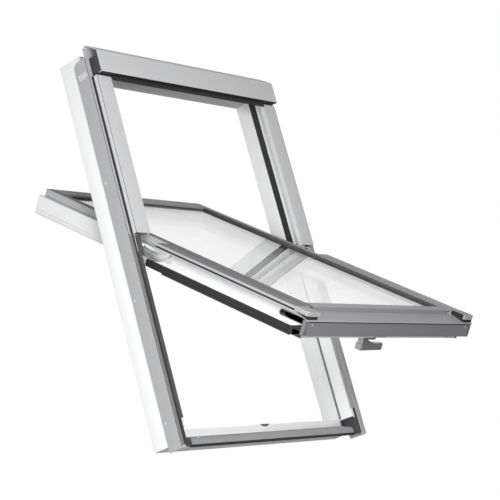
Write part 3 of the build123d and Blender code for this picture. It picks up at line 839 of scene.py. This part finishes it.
# web that widens the handle towards its short end
web = {
    "outline": [(-51, -24), (-51, -36.3), (-42, -36.3), (-27.7, -35.1), (-7.3, -29), (5, -24.4)],
    "span": (70, 87),
}
trim("handleWeb", "handle", "satinHandle", [(web["outline"], *web["span"], "z")], onSash=True)
print("trim built")

# screw heads
screwSizes = {"radius": 0.0042, "height": 0.0016, "recess": 0.0009, "slotWidth": 0.0009, "slotLength": 0.0052}
screwSpots = 28


def buildScrewTree():
    tree = bpy.data.node_groups.new("screwHeads", "GeometryNodeTree")
    tree.interface.new_socket(name="Geometry", in_out="INPUT", socket_type="NodeSocketGeometry")
    sizes = {}
    for label in screwSizes:
        sizes[label] = tree.interface.new_socket(name=label, in_out="INPUT", socket_type="NodeSocketFloat")
    tree.interface.new_socket(name="Geometry", in_out="OUTPUT", socket_type="NodeSocketGeometry")
    start = tree.nodes.new("NodeGroupInput")
    end = tree.nodes.new("NodeGroupOutput")

    disc = place(tree, "GeometryNodeMeshCylinder", Vertices=screwSpots)
    join(tree, start.outputs["radius"], disc.inputs["Radius"])
    join(tree, start.outputs["height"], disc.inputs["Depth"])
    bars = tree.nodes.new("GeometryNodeJoinGeometry")
    for lengthAxis, widthAxis in (("X", "Y"), ("Y", "X")):
        bar = tree.nodes.new("GeometryNodeMeshCube")
        size = tree.nodes.new("ShaderNodeCombineXYZ")
        join(tree, start.outputs["slotLength"], size.inputs[lengthAxis])
        join(tree, start.outputs["slotWidth"], size.inputs[widthAxis])
        join(tree, maths(tree, "MULTIPLY", start.outputs["recess"], 2.0), size.inputs[2])
        join(tree, size.outputs[0], bar.inputs["Size"])
        join(tree, bar.outputs["Mesh"], bars.inputs[0])
    lift = tree.nodes.new("GeometryNodeTransform")
    rise = tree.nodes.new("ShaderNodeCombineXYZ")
    join(tree, maths(tree, "MULTIPLY", start.outputs["height"], 0.5), rise.inputs[2])
    join(tree, bars.outputs[0], lift.inputs["Geometry"])
    join(tree, rise.outputs[0], lift.inputs["Translation"])
    cut = tree.nodes.new("GeometryNodeMeshBoolean")
    cut.operation = "DIFFERENCE"
    cut.solver = "EXACT"
    cut.inputs["Self Intersection"].default_value = True
    join(tree, disc.outputs["Mesh"], cut.inputs["Mesh 1"])
    join(tree, lift.outputs[0], cut.inputs["Mesh 2"])

    facing = tree.nodes.new("GeometryNodeInputNamedAttribute")
    facing.data_type = "FLOAT_VECTOR"
    facing.inputs["Name"].default_value = "facing"
    turnTo = tree.nodes.new("FunctionNodeAlignRotationToVector")
    turnTo.axis = "Z"
    join(tree, facing.outputs["Attribute"], turnTo.inputs["Vector"])
    spread = tree.nodes.new("GeometryNodeInstanceOnPoints")
    join(tree, start.outputs["Geometry"], spread.inputs["Points"])
    join(tree, cut.outputs["Mesh"], spread.inputs["Instance"])
    join(tree, turnTo.outputs[0], spread.inputs["Rotation"])
    solid = tree.nodes.new("GeometryNodeRealizeInstances")
    coat = tree.nodes.new("GeometryNodeSetMaterial")
    coat.inputs["Material"].default_value = finishes["zincSteel"]
    join(tree, spread.outputs[0], solid.inputs[0])
    join(tree, solid.outputs[0], coat.inputs["Geometry"])
    join(tree, coat.outputs[0], end.inputs[0])
    return tree, {label: socket.identifier for label, socket in sizes.items()}


screwTree, screwInputs = buildScrewTree()


def screws(name, body, spots, scale=1.0):
    mesh = bpy.data.meshes.new(name)
    mesh.from_pydata([tuple(spot) for spot, facing in spots], [], [])
    facings = mesh.attributes.new("facing", "FLOAT_VECTOR", "POINT")
    for i, (spot, facing) in enumerate(spots):
        facings.data[i].vector = facing
    seed = bpy.data.objects.new(name, mesh)
    bpy.context.collection.objects.link(seed)
    maker = seed.modifiers.new("screwHeads", "NODES")
    maker.node_group = screwTree
    for label, identifier in screwInputs.items():
        maker[identifier] = screwSizes[label] * scale
    shown = seed.evaluated_get(bpy.context.evaluated_depsgraph_get())
    plain = bpy.data.meshes.new_from_object(shown)
    seed.modifiers.clear()
    seed.data = plain
    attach(seed, body)


# each screw: a spot on the surface and the way its head faces, which mirror on the two sides
sillScrew = {"x": 0.313, "y": -0.0943, "z": 0.0108, "facing": Vector((0, -0.33, 0.94)).normalized()}
sideScrew = {"x": 0.3947, "y": -0.068, "heights": (0.06, 0.4, 0.74, 1.059), "facing": (0.981, 0.192)}
panelScrew = {"x": 0.345, "y": -0.091, "z": 0.0256}
plateScrew = {"x": 0.3502, "places": ((-0.1, 0.5332), (-0.0977, 0.5158)), "scale": 0.45}

frameScrews = []
for side in sides.values():
    frameScrews.append((Vector((side * sillScrew["x"], sillScrew["y"], sillScrew["z"])), sillScrew["facing"]))
for side in sides.values():
    facing = Vector((side * sideScrew["facing"][0], sideScrew["facing"][1], 0)).normalized()
    for height in sideScrew["heights"]:
        frameScrews.append((Vector((side * sideScrew["x"], sideScrew["y"], height)), facing))
screws("frameScrews", "frame", frameScrews)

sashScrews = []
plateScrews = []
for side in sides.values():
    sashScrews.append(
        (opened((side * panelScrew["x"], panelScrew["y"], panelScrew["z"])), openedFacing((0, 0, -1)))
    )
    for depth, height in plateScrew["places"]:
        plateScrews.append((opened((side * plateScrew["x"], depth, height)), Vector((side, 0, 0))))
screws("sashScrews", "sash", sashScrews)
screws("plateScrews", "sash", plateScrews, plateScrew["scale"])
print("screws placed")

# floor, lamps and world
floorLook = {"height": -0.8, "size": 14.0, "color": (0.66, 0.66, 0.66), "roughness": 0.9}


def buildFloor():
    half = floorLook["size"] / 2
    mesh = bpy.data.meshes.new("floor")
    corners = [(-half, -half), (half, -half), (half, half), (-half, half)]
    mesh.from_pydata([(x, y, floorLook["height"]) for x, y in corners], [], [(0, 1, 2, 3)])
    floor = bpy.data.objects.new("floor", mesh)
    bpy.context.collection.objects.link(floor)
    material = bpy.data.materials.new("paleFloor")
    material.use_nodes = True
    shader = material.node_tree.nodes["Principled BSDF"]
    shader.inputs["Base Color"].default_value = (*floorLook["color"], 1)
    shader.inputs["Roughness"].default_value = floorLook["roughness"]
    mesh.materials.append(material)


buildFloor()

lampLooks = {
    "side": {"place": (-4.5, -0.9, 0.3), "size": 2.4, "power": 75.0},
    "front": {"place": (-1.7, -2.3, 0.1), "size": 1.1, "power": 55.0},
}
lampTarget = Vector((0, -0.1, 0.55))
for name, look in lampLooks.items():
    lamp = bpy.data.lights.new(name, "AREA")
    lamp.shape = "DISK"
    lamp.size = look["size"]
    lamp.energy = look["power"]
    holder = bpy.data.objects.new(name, lamp)
    holder.location = look["place"]
    holder.rotation_euler = (lampTarget - Vector(look["place"])).to_track_quat("-Z", "Y").to_euler()
    bpy.context.collection.objects.link(holder)
    holder.visible_camera = False

worldLook = {"fillStrength": 0.24, "seenStrength": 1.0}
world = bpy.data.worlds.new("studio")
bpy.context.scene.world = world
world.use_nodes = True
sky = world.node_tree
sky.nodes["Background"].inputs["Color"].default_value = (1, 1, 1, 1)
path = sky.nodes.new("ShaderNodeLightPath")
seen = maths(sky, "MAXIMUM", path.outputs["Is Camera Ray"], path.outputs["Is Glossy Ray"])
seen = maths(sky, "MAXIMUM", seen, path.outputs["Is Transmission Ray"])
gap = worldLook["seenStrength"] - worldLook["fillStrength"]
strength = maths(sky, "ADD", maths(sky, "MULTIPLY", seen, gap), worldLook["fillStrength"])
join(sky, strength, sky.nodes["Background"].inputs["Strength"])
print("stage lit")

# camera: the photograph's point of view, found from its straight edges
cameraLook = {
    "place": (-3.37509, -2.79168, -0.66905),
    "right": (0.64619634, -0.7198728, -0.25340373),
    "up": (-0.04375636, -0.36644187, 0.9294115),
    "lens": 112.926,
    "sensor": 36.0,
}
lens = bpy.data.cameras.new("camera")
lens.lens = cameraLook["lens"]
lens.sensor_width = cameraLook["sensor"]
lens.sensor_fit = "HORIZONTAL"
camera = bpy.data.objects.new("camera", lens)
right = Vector(cameraLook["right"])
up = Vector(cameraLook["up"])
turn = Matrix((right, up, right.cross(up))).transposed().to_4x4()
camera.matrix_world = Matrix.Translation(cameraLook["place"]) @ turn
bpy.context.collection.objects.link(camera)
bpy.context.scene.camera = camera
bpy.context.scene.view_settings.view_transform = "Standard"
